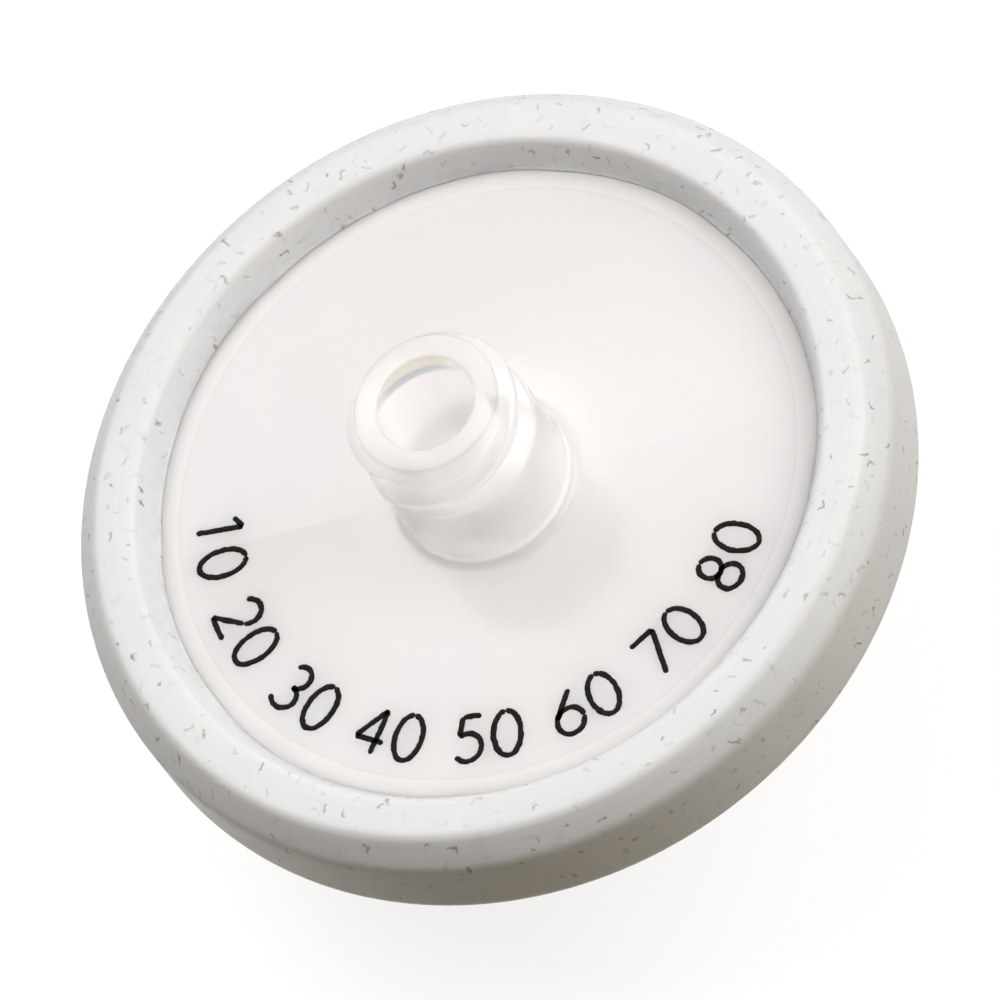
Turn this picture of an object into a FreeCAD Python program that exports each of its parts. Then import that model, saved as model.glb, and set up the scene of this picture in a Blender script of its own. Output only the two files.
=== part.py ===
"""Syringe filter: two clear moulded housing halves clamp a membrane, and a white ring moulded
round their rims holds them together.

Millimetres. The axis is +Z, from the outlet up to the inlet. The origin is the centre of the
inlet's mouth, which a syringe holds. The inlet is a female Luer lock hub, and the outlet is a
male Luer slip cone.
"""

import FreeCAD, Part
import os

import Sketcher

# Driving sizes: alias, value, meaning.
SIZES = [
    ("ring_dia", 35.5, "outer diameter of the white ring"),
    ("ring_bevel_reach", 1.0, "how far the ring's outer bevel comes in"),
    ("ring_bevel_rise", 1.28, "height of that bevel"),
    ("ring_flat_width", 1.75, "width of the ring's flat, from the bevel to the inner slope"),
    ("ring_slope_reach", 0.65, "how far the inner slope comes in"),
    ("ring_recess", 1.45, "depth from the ring's flat down to the housing's face"),
    ("ring_crest_edge", 0.3, "chamfer between the flat and the bevel"),
    ("ring_wall", 2.15, "thickness of the ring outside the housing's rims"),
    ("rim_thick", 1.4, "thickness of each housing half at its rim"),
    ("web_thick", 1.0, "thickness of each housing half inside its rim"),
    ("lip_width", 0.5, "width of the outlet's lip round the membrane"),
    ("membrane_gap", 0.1, "radial gap between the membrane's edge and that lip"),
    ("membrane_seat", 1.55, "width of the membrane's edge that the rims clamp"),
    ("membrane_thick", 0.2, "thickness of the membrane"),
    ("hub_rise", 7.75, "height of the inlet hub above the housing's face"),
    ("hub_barrel_dia", 6.2, "diameter of the hub at its mouth, and the root of its thread"),
    ("hub_body_dia", 7.5, "diameter of the hub's lower body"),
    ("hub_neck_drop", 2.7, "depth from the mouth to the top of the shoulder"),
    ("hub_shoulder_drop", 0.5, "height of the shoulder's slope"),
    ("hub_foot_edge", 0.45, "slope between the hub and the housing's face"),
    ("socket_entry", 0.12, "chamfer of the socket's entry"),
    ("socket_dia", 4.29, "diameter of the Luer socket at its mouth"),
    ("socket_depth", 7.6, "depth of the Luer socket"),
    ("luer_taper", 0.06, "change of a Luer cone's diameter for each unit of length"),
    ("inlet_hole_dia", 2.4, "hole from the socket into the chamber"),
    ("thread_dia", 7.3, "diameter over the hub's thread"),
    ("thread_lead", 5.0, "advance of the thread in one turn"),
    ("thread_starts", 2, "number of thread starts"),
    ("thread_crest", 0.5, "width of the thread's crest"),
    ("thread_flank", 0.35, "axial run of each flank of the thread"),
    ("thread_run_out", 0.1, "how far each thread runs past the mouth and into the shoulder"),
    ("thread_trim_reach", 0.6, "how far the trimming cone reaches past the thread"),
    ("thread_angle", 88.0, "where the first thread starts, in degrees about the axis"),
    ("inlet_rib_count", 8, "number of radial ribs under the inlet's web"),
    ("inlet_rib_width", 0.5, "width of one of those ribs"),
    ("inlet_rib_start", 2.6, "radius where those ribs start"),
    ("inlet_rib_angle", 17.0, "direction of the first of those ribs, in degrees"),
    ("support_rib_width", 0.6, "width of a rib that carries the membrane"),
    ("support_rib_count", 12, "number of long support ribs, and of short ones between them"),
    ("long_rib_start", 2.2, "radius where the long support ribs start"),
    ("short_rib_start", 6.0, "radius where the short support ribs start"),
    ("boss_dia", 6.8, "diameter of the boss over the outlet cone"),
    ("boss_length", 2.8, "length of that boss"),
    ("boss_foot_edge", 0.6, "slope between the boss and the housing"),
    ("boss_edge", 0.35, "chamfer of the boss's lower edge"),
    ("nozzle_length", 8.5, "length of the outlet's Luer cone"),
    ("nozzle_tip_dia", 3.96, "diameter of that cone at its tip"),
    ("nozzle_bore", 2.0, "bore through the outlet"),
    ("nozzle_tip_edge", 0.15, "chamfer of the tip's outer edge"),
]

# Radii, levels and counts worked out from the sizes: alias, formula. The mouth is level 0.
PLACES = [
    ("mouth", "0"),
    ("neck", "mouth - sizes.hub_neck_drop"),
    ("shoulder", "neck - sizes.hub_shoulder_drop"),
    ("socket_floor", "mouth - sizes.socket_depth"),
    ("inlet_face", "mouth - sizes.hub_rise"),
    ("inlet_web_under", "inlet_face - sizes.web_thick"),
    ("parting", "inlet_face - sizes.rim_thick"),
    ("outlet_rim_top", "parting - sizes.membrane_thick"),
    ("outlet_face", "outlet_rim_top - sizes.rim_thick"),
    ("outlet_web_top", "outlet_face + sizes.web_thick"),
    ("boss_under", "outlet_face - sizes.boss_length"),
    ("tip", "boss_under - sizes.nozzle_length"),
    ("ring_top", "inlet_face + sizes.ring_recess"),
    ("ring_under", "outlet_face - sizes.ring_recess"),
    ("ring_side_high", "ring_top - sizes.ring_bevel_rise"),
    ("ring_side_low", "ring_under + sizes.ring_bevel_rise"),
    ("ring_radius", "sizes.ring_dia / 2"),
    ("ring_crest_radius", "ring_radius - sizes.ring_bevel_reach"),
    ("ring_mouth_radius", "ring_crest_radius - sizes.ring_flat_width"),
    ("ring_foot_radius", "ring_mouth_radius - sizes.ring_slope_reach"),
    ("housing_radius", "ring_radius - sizes.ring_wall"),
    ("lip_radius", "housing_radius - sizes.lip_width"),
    ("membrane_radius", "lip_radius - sizes.membrane_gap"),
    ("chamber_radius", "membrane_radius - sizes.membrane_seat"),
    ("rim_middle_radius", "(housing_radius + chamber_radius) / 2"),
    ("rib_rise", "sizes.rim_thick - sizes.web_thick"),
    ("barrel_radius", "sizes.hub_barrel_dia / 2"),
    ("body_radius", "sizes.hub_body_dia / 2"),
    ("socket_radius", "sizes.socket_dia / 2"),
    ("socket_floor_radius", "socket_radius - sizes.socket_depth * sizes.luer_taper / 2"),
    ("inlet_hole_radius", "sizes.inlet_hole_dia / 2"),
    ("thread_radius", "sizes.thread_dia / 2"),
    ("thread_inside", "(barrel_radius + socket_radius) / 2"),
    ("thread_low", "mouth + sizes.thread_run_out"),
    ("thread_crest_low", "thread_low + sizes.thread_flank"),
    ("thread_crest_top", "thread_crest_low + sizes.thread_crest"),
    ("thread_top", "thread_crest_top + sizes.thread_flank"),
    ("thread_travel", "thread_top - shoulder + sizes.thread_run_out"),
    ("trim_radius", "thread_radius + sizes.thread_trim_reach"),
    ("trim_low", "mouth - (trim_radius - barrel_radius)"),
    ("trim_high", "thread_top + sizes.thread_trim_reach"),
    ("inlet_rib_half", "sizes.inlet_rib_width / 2"),
    ("support_rib_half", "sizes.support_rib_width / 2"),
    ("long_rib_angle", "0"),
    ("short_rib_angle", "long_rib_angle + 180 / sizes.support_rib_count"),
    ("boss_radius", "sizes.boss_dia / 2"),
    ("nozzle_tip_radius", "sizes.nozzle_tip_dia / 2"),
    ("nozzle_root_radius", "nozzle_tip_radius + sizes.nozzle_length * sizes.luer_taper / 2"),
    ("nozzle_bore_radius", "sizes.nozzle_bore / 2"),
]

doc = FreeCAD.newDocument("syringe_filter")


def fill_sheet(name, rows):
    """A spreadsheet with one value or formula a row, under its alias."""
    sheet = doc.addObject("Spreadsheet::Sheet", name)
    for number, row in enumerate(rows, start=1):
        alias, content = row[0], row[1]
        sheet.set(f"A{number}", alias)
        sheet.set(f"B{number}", content if isinstance(content, str) else str(content))
        sheet.setAlias(f"B{number}", alias)
        if len(row) > 2:
            sheet.set(f"C{number}", row[2])
    doc.recompute()
    return sheet


sizes = fill_sheet("sizes", SIZES)
places = fill_sheet("places", [(alias, "=" + formula) for alias, formula in PLACES])
driving = {row[0] for row in SIZES}


def value(alias):
    """The number under an alias of either sheet. A minus sign in front turns it over."""
    if alias.startswith("-"):
        return -value(alias[1:])
    return float(getattr(sizes if alias in driving else places, alias))


def bound(alias):
    """The same value as an expression, which a constraint or a property follows."""
    if alias.startswith("-"):
        return "-" + bound(alias[1:])
    return f"sizes.{alias}" if alias in driving else f"places.{alias}"


def new_body(name):
    """A body with its label, and its origin planes by their roles."""
    body = doc.addObject("PartDesign::Body", name)
    body.Label = name
    planes = {feature.Role: feature for feature in body.Origin.OriginFeatures}
    return body, planes


def tie(sketch, kind, line, alias, name):
    """Fix how far the start of a line lies from the sketch's origin, across or along."""
    constraint = Sketcher.Constraint(kind, -1, 1, line, 1, value(alias))
    index = sketch.addConstraint(constraint)
    sketch.renameConstraint(index, name)
    sketch.setExpression(f"Constraints.{name}", bound(alias))


def outline(sketch, corners):
    """A closed outline whose corners are tied to named values, across and along the sketch."""
    points = [FreeCAD.Vector(value(across), value(along), 0) for across, along in corners]
    for start, end in zip(points, points[1:] + points[:1]):
        sketch.addGeometry(Part.LineSegment(start, end))
    for line, (across, along) in enumerate(corners):
        after = (line + 1) % len(corners)
        sketch.addConstraint(Sketcher.Constraint("Coincident", line, 2, after, 1))
        tie(sketch, "DistanceX", line, across, f"across{line}")
        tie(sketch, "DistanceY", line, along, f"along{line}")
    doc.recompute()


def half_section(body, planes, name, corners):
    """A sketch in the XZ plane: radius across, level along."""
    sketch = body.newObject("Sketcher::SketchObject", name)
    sketch.AttachmentSupport = [(planes["XZ_Plane"], "")]
    sketch.MapMode = "FlatFace"
    outline(sketch, corners)
    return sketch


def level_sketch(body, planes, name, level):
    """A sketch square to the axis at a named level."""
    sketch = body.newObject("Sketcher::SketchObject", name)
    sketch.AttachmentSupport = [(planes["XY_Plane"], "")]
    sketch.MapMode = "FlatFace"
    sketch.setExpression("AttachmentOffset.Base.z", bound(level))
    return sketch


def face_towards(sketch, own_axis, angle):
    """Turn a sketch about the part's axis, which is own_axis in the sketch, to a named angle."""
    level = sketch.AttachmentOffset.Base
    sketch.AttachmentOffset = FreeCAD.Placement(level, FreeCAD.Rotation(own_axis, value(angle)))
    sketch.setExpression("AttachmentOffset.Rotation.Angle", bound(angle))


def turned(body, kind, name, sketch):
    """Turn a half section once round the axis, to add to the body or to cut it."""
    feature = body.newObject(kind, name)
    feature.Profile = sketch
    feature.ReferenceAxis = (sketch, ["V_Axis"])
    feature.Angle = 360
    doc.recompute()
    return feature


def spread(body, name, feature, axis, count):
    """Repeat a feature evenly round the axis, as many times as a size says."""
    pattern = body.newObject("PartDesign::PolarPattern", name)
    pattern.Originals = [feature]
    pattern.Axis = axis
    pattern.Angle = 360
    pattern.setExpression("Occurrences", bound(count))
    body.Tip = pattern
    doc.recompute()
    return pattern


def chamfered(body, name, feature, circles, breadth):
    """Chamfer the circular edges that lie at the named radii and levels."""
    wanted = [(value(across), value(level)) for across, level in circles]
    edges = []
    for number, edge in enumerate(feature.Shape.Edges, start=1):
        if not isinstance(edge.Curve, Part.Circle):
            continue
        found = (edge.Curve.Radius, edge.Curve.Center.z)
        if any(abs(found[0] - r) < 1e-4 and abs(found[1] - level) < 1e-4 for r, level in wanted):
            edges.append(f"Edge{number}")
    if len(edges) < len(wanted):
        raise RuntimeError(f"{name}: {len(edges)} of {len(wanted)} edges found")
    chamfer = body.newObject("PartDesign::Chamfer", name)
    chamfer.Base = (feature, edges)
    chamfer.setExpression("Size", bound(breadth))
    doc.recompute()
    return chamfer


def overmould_ring():
    """The white ring: a flat crest, bevels outside, slopes inside, and a groove for the rims."""
    body, planes = new_body("overmould_ring")
    section = half_section(body, planes, "ring_section", [
        ("ring_mouth_radius", "ring_top"),
        ("ring_crest_radius", "ring_top"),
        ("ring_radius", "ring_side_high"),
        ("ring_radius", "ring_side_low"),
        ("ring_crest_radius", "ring_under"),
        ("ring_mouth_radius", "ring_under"),
        ("ring_foot_radius", "outlet_face"),
        ("housing_radius", "outlet_face"),
        ("housing_radius", "inlet_face"),
        ("ring_foot_radius", "inlet_face"),
    ])
    ring = turned(body, "PartDesign::Revolution", "ring", section)
    crests = [("ring_crest_radius", "ring_top"), ("ring_crest_radius", "ring_under")]
    chamfered(body, "crests", ring, crests, "ring_crest_edge")
    return body


def inlet_housing():
    """The clear upper half: rim, web, Luer lock hub, and ribs that keep the membrane down."""
    body, planes = new_body("inlet_housing")
    section = half_section(body, planes, "inlet_section", [
        ("inlet_hole_radius", "inlet_web_under"),
        ("chamber_radius", "inlet_web_under"),
        ("chamber_radius", "parting"),
        ("housing_radius", "parting"),
        ("housing_radius", "inlet_face"),
        ("body_radius", "inlet_face"),
        ("body_radius", "shoulder"),
        ("barrel_radius", "neck"),
        ("barrel_radius", "mouth"),
        ("socket_radius", "mouth"),
        ("socket_floor_radius", "socket_floor"),
        ("inlet_hole_radius", "socket_floor"),
    ])
    shell = turned(body, "PartDesign::Revolution", "inlet_shell", section)
    shell = chamfered(body, "hub_foot", shell, [("body_radius", "inlet_face")], "hub_foot_edge")
    chamfered(body, "socket_entry", shell, [("socket_radius", "mouth")], "socket_entry")
    hub_thread(body, planes)
    radial_ribs(
        body, planes, "inlet_rib", "inlet_web_under", "inlet_rib_start", "inlet_rib_half",
        "inlet_rib_angle", "inlet_rib_count", hanging=True)
    return body


def hub_thread(body, planes):
    """Right-hand thread with several starts, trimmed by a cone that begins at the mouth's rim."""
    tooth = half_section(body, planes, "thread_tooth", [
        ("thread_inside", "thread_low"),
        ("barrel_radius", "thread_low"),
        ("thread_radius", "thread_crest_low"),
        ("thread_radius", "thread_crest_top"),
        ("barrel_radius", "thread_top"),
        ("thread_inside", "thread_top"),
    ])
    face_towards(tooth, FreeCAD.Vector(0, 1, 0), "thread_angle")
    thread = body.newObject("PartDesign::AdditiveHelix", "thread")
    thread.Profile = tooth
    thread.ReferenceAxis = (tooth, ["V_Axis"])
    thread.Mode = "pitch-height-angle"
    thread.setExpression("Pitch", bound("thread_lead"))
    thread.setExpression("Height", bound("thread_travel"))
    thread.Reversed = True
    doc.recompute()
    spread(body, "thread_starts", thread, (tooth, ["V_Axis"]), "thread_starts")
    trim = half_section(body, planes, "thread_trim", [
        ("socket_floor_radius", "mouth"),
        ("barrel_radius", "mouth"),
        ("trim_radius", "trim_low"),
        ("trim_radius", "trim_high"),
        ("socket_floor_radius", "trim_high"),
    ])
    turned(body, "PartDesign::Groove", "thread_trimmed", trim)


def radial_ribs(body, planes, name, level, start, half_width, angle, count, hanging):
    """Ribs that run out into the rim, as high as the rim stands beyond the web."""
    sketch = level_sketch(body, planes, f"{name}_sketch", level)
    face_towards(sketch, FreeCAD.Vector(0, 0, 1), angle)
    outline(sketch, [
        (start, f"-{half_width}"),
        ("rim_middle_radius", f"-{half_width}"),
        ("rim_middle_radius", half_width),
        (start, half_width),
    ])
    rib = body.newObject("PartDesign::Pad", name)
    rib.Profile = sketch
    rib.Reversed = hanging
    rib.setExpression("Length", bound("rib_rise"))
    doc.recompute()
    spread(body, f"{name}s", rib, (sketch, ["N_Axis"]), count)


def outlet_housing():
    """The clear lower half: rim with a lip round the membrane, support ribs and Luer cone."""
    body, planes = new_body("outlet_housing")
    section = half_section(body, planes, "outlet_section", [
        ("nozzle_bore_radius", "tip"),
        ("nozzle_tip_radius", "tip"),
        ("nozzle_root_radius", "boss_under"),
        ("boss_radius", "boss_under"),
        ("boss_radius", "outlet_face"),
        ("housing_radius", "outlet_face"),
        ("housing_radius", "parting"),
        ("lip_radius", "parting"),
        ("lip_radius", "outlet_rim_top"),
        ("chamber_radius", "outlet_rim_top"),
        ("chamber_radius", "outlet_web_top"),
        ("nozzle_bore_radius", "outlet_web_top"),
    ])
    shell = turned(body, "PartDesign::Revolution", "outlet_shell", section)
    shell = chamfered(body, "boss_foot", shell, [("boss_radius", "outlet_face")], "boss_foot_edge")
    shell = chamfered(body, "boss_edge", shell, [("boss_radius", "boss_under")], "boss_edge")
    chamfered(body, "nozzle_tip", shell, [("nozzle_tip_radius", "tip")], "nozzle_tip_edge")
    for reach in ("long", "short"):
        radial_ribs(
            body, planes, f"{reach}_rib", "outlet_web_top", f"{reach}_rib_start",
            "support_rib_half", f"{reach}_rib_angle", "support_rib_count", hanging=False)
    return body


def membrane():
    """The filter membrane, a thin disc on the ribs, with its edge under the inlet's rim."""
    body, planes = new_body("membrane")
    sketch = level_sketch(body, planes, "membrane_sketch", "outlet_rim_top")
    radius = value("membrane_radius")
    sketch.addGeometry(Part.Circle(FreeCAD.Vector(0, 0, 0), FreeCAD.Vector(0, 0, 1), radius))
    sketch.addConstraint(Sketcher.Constraint("Coincident", 0, 3, -1, 1))
    index = sketch.addConstraint(Sketcher.Constraint("Radius", 0, radius))
    sketch.renameConstraint(index, "radius")
    sketch.setExpression("Constraints.radius", bound("membrane_radius"))
    disc = body.newObject("PartDesign::Pad", "disc")
    disc.Profile = sketch
    disc.setExpression("Length", bound("membrane_thick"))
    doc.recompute()
    return body


def check(pieces):
    """Stop if any object failed, or if a piece isn't one valid solid."""
    doc.recompute()
    for thing in doc.Objects:
        if "Invalid" in thing.State or "Error" in thing.State:
            raise RuntimeError(f"{thing.Name} is {thing.State}")
    for piece in pieces:
        shape = piece.Shape
        if shape.isNull() or not shape.isValid() or len(shape.Solids) != 1:
            raise RuntimeError(f"{piece.Label} isn't one valid solid")


pieces = [overmould_ring(), inlet_housing(), outlet_housing(), membrane()]
check(pieces)
os.makedirs("parts", exist_ok=True)
for piece in pieces:
    piece.Shape.exportStep(f"parts/{piece.Label}.step")
    box = piece.Shape.BoundBox
    print(f"{piece.Label}: {piece.Shape.Volume:.2f} mm3, z {box.ZMin:.2f} to {box.ZMax:.2f} mm")
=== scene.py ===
"""Looks of the syringe filter: flecked white ring, milky housing halves, print, floor and lamps.

Lengths named in this file are millimetres and are turned into metres where a mesh is made.
Levels run along +Z from the inlet's mouth, which is 0. Azimuths turn about +Z from +X.
"""

import math

import bpy
import numpy as np
from mathutils import Matrix, Vector


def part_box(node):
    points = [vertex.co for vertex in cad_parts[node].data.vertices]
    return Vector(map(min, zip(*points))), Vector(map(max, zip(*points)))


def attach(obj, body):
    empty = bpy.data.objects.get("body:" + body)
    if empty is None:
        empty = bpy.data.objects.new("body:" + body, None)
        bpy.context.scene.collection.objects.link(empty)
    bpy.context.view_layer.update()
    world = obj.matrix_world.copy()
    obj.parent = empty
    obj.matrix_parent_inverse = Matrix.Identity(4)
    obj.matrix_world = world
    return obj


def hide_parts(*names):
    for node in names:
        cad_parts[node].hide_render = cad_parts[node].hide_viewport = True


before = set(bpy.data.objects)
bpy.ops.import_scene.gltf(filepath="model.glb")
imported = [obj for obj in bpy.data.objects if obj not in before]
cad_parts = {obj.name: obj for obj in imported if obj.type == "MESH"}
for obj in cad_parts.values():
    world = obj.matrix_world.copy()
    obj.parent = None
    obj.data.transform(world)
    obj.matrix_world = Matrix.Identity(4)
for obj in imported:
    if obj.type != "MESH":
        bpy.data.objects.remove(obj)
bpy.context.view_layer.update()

MM = 0.001


def box_mm(node):
    """A frame node's lowest and highest corner in millimetres."""
    low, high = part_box(node)
    return np.array(low) / MM, np.array(high) / MM


# Sizes that the frame gives.
ring_low, ring_high = box_mm("overmould_ring")
inlet_low, inlet_high = box_mm("inlet_housing")
outlet_low = box_mm("outlet_housing")[0]
membrane_high = box_mm("membrane")[1]
RING_RADIUS = ring_high[0]
RING_TOP = ring_high[2]
RING_UNDER = ring_low[2]
RING_MIDDLE = (RING_TOP + RING_UNDER) / 2
HOUSING_RADIUS = inlet_high[0]
PARTING = inlet_low[2]
TIP = outlet_low[2]
MEMBRANE_TOP = membrane_high[2]
LIP_CLEARANCE = 0.1
LIP_RADIUS = membrane_high[0] + LIP_CLEARANCE

# Sizes of the mouldings, as the solids have them.
RECESS = 1.45
BEVEL_REACH = 1.0
BEVEL_RISE = 1.28
FLAT_WIDTH = 1.75
SLOPE_REACH = 0.65
RIM_THICK = 1.4
WEB_THICK = 1.0
CHAMBER_RADIUS = 13.45
HAIR = 0.01
FACE = RING_TOP - RECESS
UNDERFACE = RING_UNDER + RECESS
CREST_RADIUS = RING_RADIUS - BEVEL_REACH
MOUTH_RADIUS = CREST_RADIUS - FLAT_WIDTH
FOOT_RADIUS = MOUTH_RADIUS - SLOPE_REACH

# The hub, its Luer socket and its two-start thread.
HUB_BARREL = 3.1
HUB_BODY = 3.75
HUB_NECK = -2.7
HUB_SHOULDER = -3.2
HUB_FOOT = FACE + 0.3
HUB_CLEAR = 4.5
SOCKET_RADIUS = 2.145
SOCKET_DEPTH = 7.6
SOCKET_SLOPE = 0.03
INLET_HOLE = 1.2
THREAD_RADIUS = 3.65
THREAD_LEAD = 5.0
THREAD_STARTS = 2
THREAD_CREST = 0.5
THREAD_FLANK = 0.35
THREAD_PHASE = 88.0
THREAD_START = 0.1

# Painted shade where a thread lug shows through the socket's wall: levels in mm, azimuths in degrees.
SOCKET_SEEN = 2.4
LUG_LOW = -1.06
LUG_RISE = 0.95
LUG_MIDDLE = 62.0
LUG_SPAN = 84.0

# The face's three sectors of painted light and shade: the azimuth where the first starts, and how far
# each one reaches.
SECTOR_START = 152.0
FIRST_SECTOR = 136.0
SECOND_SECTOR = 43.0
THIRD_SECTOR = 360.0 - FIRST_SECTOR - SECOND_SECTOR

# Radial ribs of both halves.
INLET_RIBS = 8
INLET_RIB_ANGLE = 17.0
INLET_RIB_START = 2.6
INLET_RIB_HALF = 0.25
SUPPORT_RIBS = 12
SUPPORT_RIB_HALF = 0.3
LONG_RIB_START = 2.2
SHORT_RIB_START = 6.0

# The outlet's boss and Luer cone.
BOSS_RADIUS = 3.4
BOSS_LENGTH = 2.8
NOZZLE_ROOT = 2.235
NOZZLE_TIP = 1.98
NOZZLE_BORE = 1.0

# How finely each moulding is divided round the axis and along its outline.
RING_COLUMNS = 720
INLET_COLUMNS = 420
OUTLET_COLUMNS = 480
RING_SPACING = 0.3
HOUSING_SPACING = 0.45


# ---------------------------------------------------------------- surfaces

ROUNDING_STEPS = 6


def smooth(low, high, value):
    """0 below low, 1 above high, and an S-curve 3t^2 - 2t^3 between them."""
    share = np.clip((value - low) / (high - low), 0.0, 1.0)
    return share * share * (3.0 - 2.0 * share)


def wander(angle, seed, waves):
    """A closed wandering line about 0: a sum of sines round the axis, weaker as they get finer."""
    draw = np.random.default_rng(seed)
    counts = np.array(waves)
    phases = draw.uniform(0, 2 * math.pi, len(counts))
    weights = counts[0] / counts
    waves_sum = (np.sin(np.outer(angle, counts) + phases) * weights).sum(axis=1)
    return waves_sum / weights.sum()


def rounded_outline(corners, spacing):
    """A closed outline from corners (radius, level, rounding), with a spacing of its own if given.

    Each rounding is a quadratic curve between the two points at that distance from the corner:
    (1-s)^2 start + 2s(1-s) corner + s^2 end. The straight run to the next corner is divided
    evenly, no further apart than the corner's fourth value, or than spacing.
    """
    points = np.array([corner[:2] for corner in corners], float)
    before = np.roll(points, 1, axis=0)
    after = np.roll(points, -1, axis=0)
    share = np.linspace(0, 1, ROUNDING_STEPS + 1)[:, None]
    pieces = []
    for corner, point, last, following in zip(corners, points, before, after):
        rounding = corner[2]
        start = point + rounding * (last - point) / np.linalg.norm(last - point)
        end = point + rounding * (following - point) / np.linalg.norm(following - point)
        curve = (1 - share) ** 2 * start + 2 * share * (1 - share) * point + share ** 2 * end
        pieces.append(curve if rounding else point[None])
    outline = []
    for number, (corner, piece) in enumerate(zip(corners, pieces)):
        run = pieces[(number + 1) % len(pieces)][0] - piece[-1]
        apart = corner[3] if len(corner) > 3 else spacing
        count = max(math.ceil(np.linalg.norm(run) / apart), 1)
        outline += [piece, piece[-1] + np.arange(1, count)[:, None] / count * run]
    return np.concatenate(outline)


def turned_outline(outline, columns):
    """Evenly spaced azimuths, and the outline's radius and level repeated at each of them."""
    angle = np.arange(columns) * 2 * math.pi / columns
    radius = np.repeat(outline[:, :1], columns, axis=1)
    level = np.repeat(outline[:, 1:], columns, axis=1)
    return angle, radius, level


def closed_grid(name, radius, level, angle, marks=None):
    """A surface of revolution closed both ways: rows follow a closed outline, columns turn.

    radius and level are arrays (rows, columns): x = r cos a, y = r sin a, z = level.
    marks are named arrays of the same shape that the material reads as attributes.
    """
    rows, columns = radius.shape
    points = np.stack([
        radius * np.cos(angle) * MM,
        radius * np.sin(angle) * MM,
        level * MM * np.ones_like(radius)], axis=-1).reshape(-1, 3)
    row, column = np.meshgrid(np.arange(rows), np.arange(columns), indexing="ij")
    next_row, next_column = (row + 1) % rows, (column + 1) % columns
    quads = np.stack([
        row * columns + column,
        row * columns + next_column,
        next_row * columns + next_column,
        next_row * columns + column], axis=-1).reshape(-1, 4)
    piece = surface_object(name, points, quads)
    for mark, values in (marks or {}).items():
        attribute = piece.data.attributes.new(mark, "FLOAT", "POINT")
        attribute.data.foreach_set("value", values.astype(np.float32).ravel())
    return piece


def surface_object(name, points, quads):
    """A mesh object from arrays of points and four-sided faces, shaded smooth."""
    mesh = bpy.data.meshes.new(name)
    mesh.vertices.add(len(points))
    mesh.vertices.foreach_set("co", points.astype(np.float32).ravel())
    mesh.loops.add(quads.size)
    mesh.loops.foreach_set("vertex_index", quads.astype(np.int32).ravel())
    mesh.polygons.add(len(quads))
    mesh.polygons.foreach_set("loop_start", np.arange(0, quads.size, 4, dtype=np.int32))
    mesh.polygons.foreach_set("use_smooth", np.ones(len(quads), dtype=bool))
    mesh.update(calc_edges=True)
    mesh.validate()
    piece = bpy.data.objects.new(name, mesh)
    bpy.context.scene.collection.objects.link(piece)
    return piece


def finish_piece(piece, material, node=None):
    """Dress a new piece, carry it with the filter, and hide the solid it stands for."""
    piece.data.materials.append(material)
    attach(piece, "root")
    if node:
        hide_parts(node)
    return piece


# ---------------------------------------------------------------- pieces

def make_ring(material):
    """The white ring: outline with soft edges, and a thin uneven flash at its inner foot.

    radius(row, azimuth) = outline radius - flash(azimuth) * nearness of the row to the foot.
    """
    outline = rounded_outline([
        (HOUSING_RADIUS, FACE, 0),
        (FOOT_RADIUS - 0.02, FACE, 0),
        (FOOT_RADIUS + 0.06, FACE + 0.07, 0.05),
        (MOUTH_RADIUS, RING_TOP, 0.28),
        (CREST_RADIUS, RING_TOP, 0.3),
        (RING_RADIUS, RING_TOP - BEVEL_RISE, 0.34),
        (RING_RADIUS, RING_UNDER + BEVEL_RISE, 0.34),
        (CREST_RADIUS, RING_UNDER, 0.3),
        (MOUTH_RADIUS, RING_UNDER, 0.28),
        (FOOT_RADIUS + 0.06, UNDERFACE - 0.07, 0.05),
        (FOOT_RADIUS - 0.02, UNDERFACE, 0),
        (HOUSING_RADIUS, UNDERFACE, 0),
    ], spacing=RING_SPACING)[::-1]
    angle, radius, level = turned_outline(outline, RING_COLUMNS)
    near_foot = smooth(FOOT_RADIUS + 0.25, FOOT_RADIUS, outline[:, 0])
    near_face = smooth(0.22, 0.0, np.abs(outline[:, 1] - FACE))
    flash = 0.10 * wander(angle, 3, [5, 8, 13, 21, 34, 55]) + 0.05 * wander(angle, 4, [3, 7, 11])
    radius = radius - (near_foot * near_face)[:, None] * (0.05 + flash)[None, :]
    ring = closed_grid("moulded_ring", radius, level, angle)
    return finish_piece(ring, material, "overmould_ring")


def thread_offset(angle, level):
    """How far a level lies above the middle of the nearest tooth, at an azimuth."""
    pitch = THREAD_LEAD / THREAD_STARTS
    turn = (np.degrees(angle) - THREAD_PHASE) / 360.0
    middle = THREAD_START + THREAD_FLANK + THREAD_CREST / 2
    return np.mod(level - middle - THREAD_LEAD * turn + pitch / 2, pitch) - pitch / 2


def thread_height(angle, level):
    """How much of the thread's height stands at an azimuth and level: a soft trapezoid, 0 to 1."""
    away = np.abs(thread_offset(angle, level))
    return 1.0 - smooth(THREAD_CREST / 2 - 0.06, THREAD_CREST / 2 + THREAD_FLANK, away)


def rib_height(angle, radius, count, first_angle, start, half_width):
    """1 on a radial rib and 0 between ribs, with steep soft sides."""
    pitch = 2 * math.pi / count
    turn = np.mod(angle - math.radians(first_angle) + pitch / 2, pitch) - pitch / 2
    beside = 1.0 - smooth(half_width - 0.15, half_width + 0.35, np.abs(radius * np.sin(turn)))
    return beside * smooth(start - 0.08, start + 0.08, radius)


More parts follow.
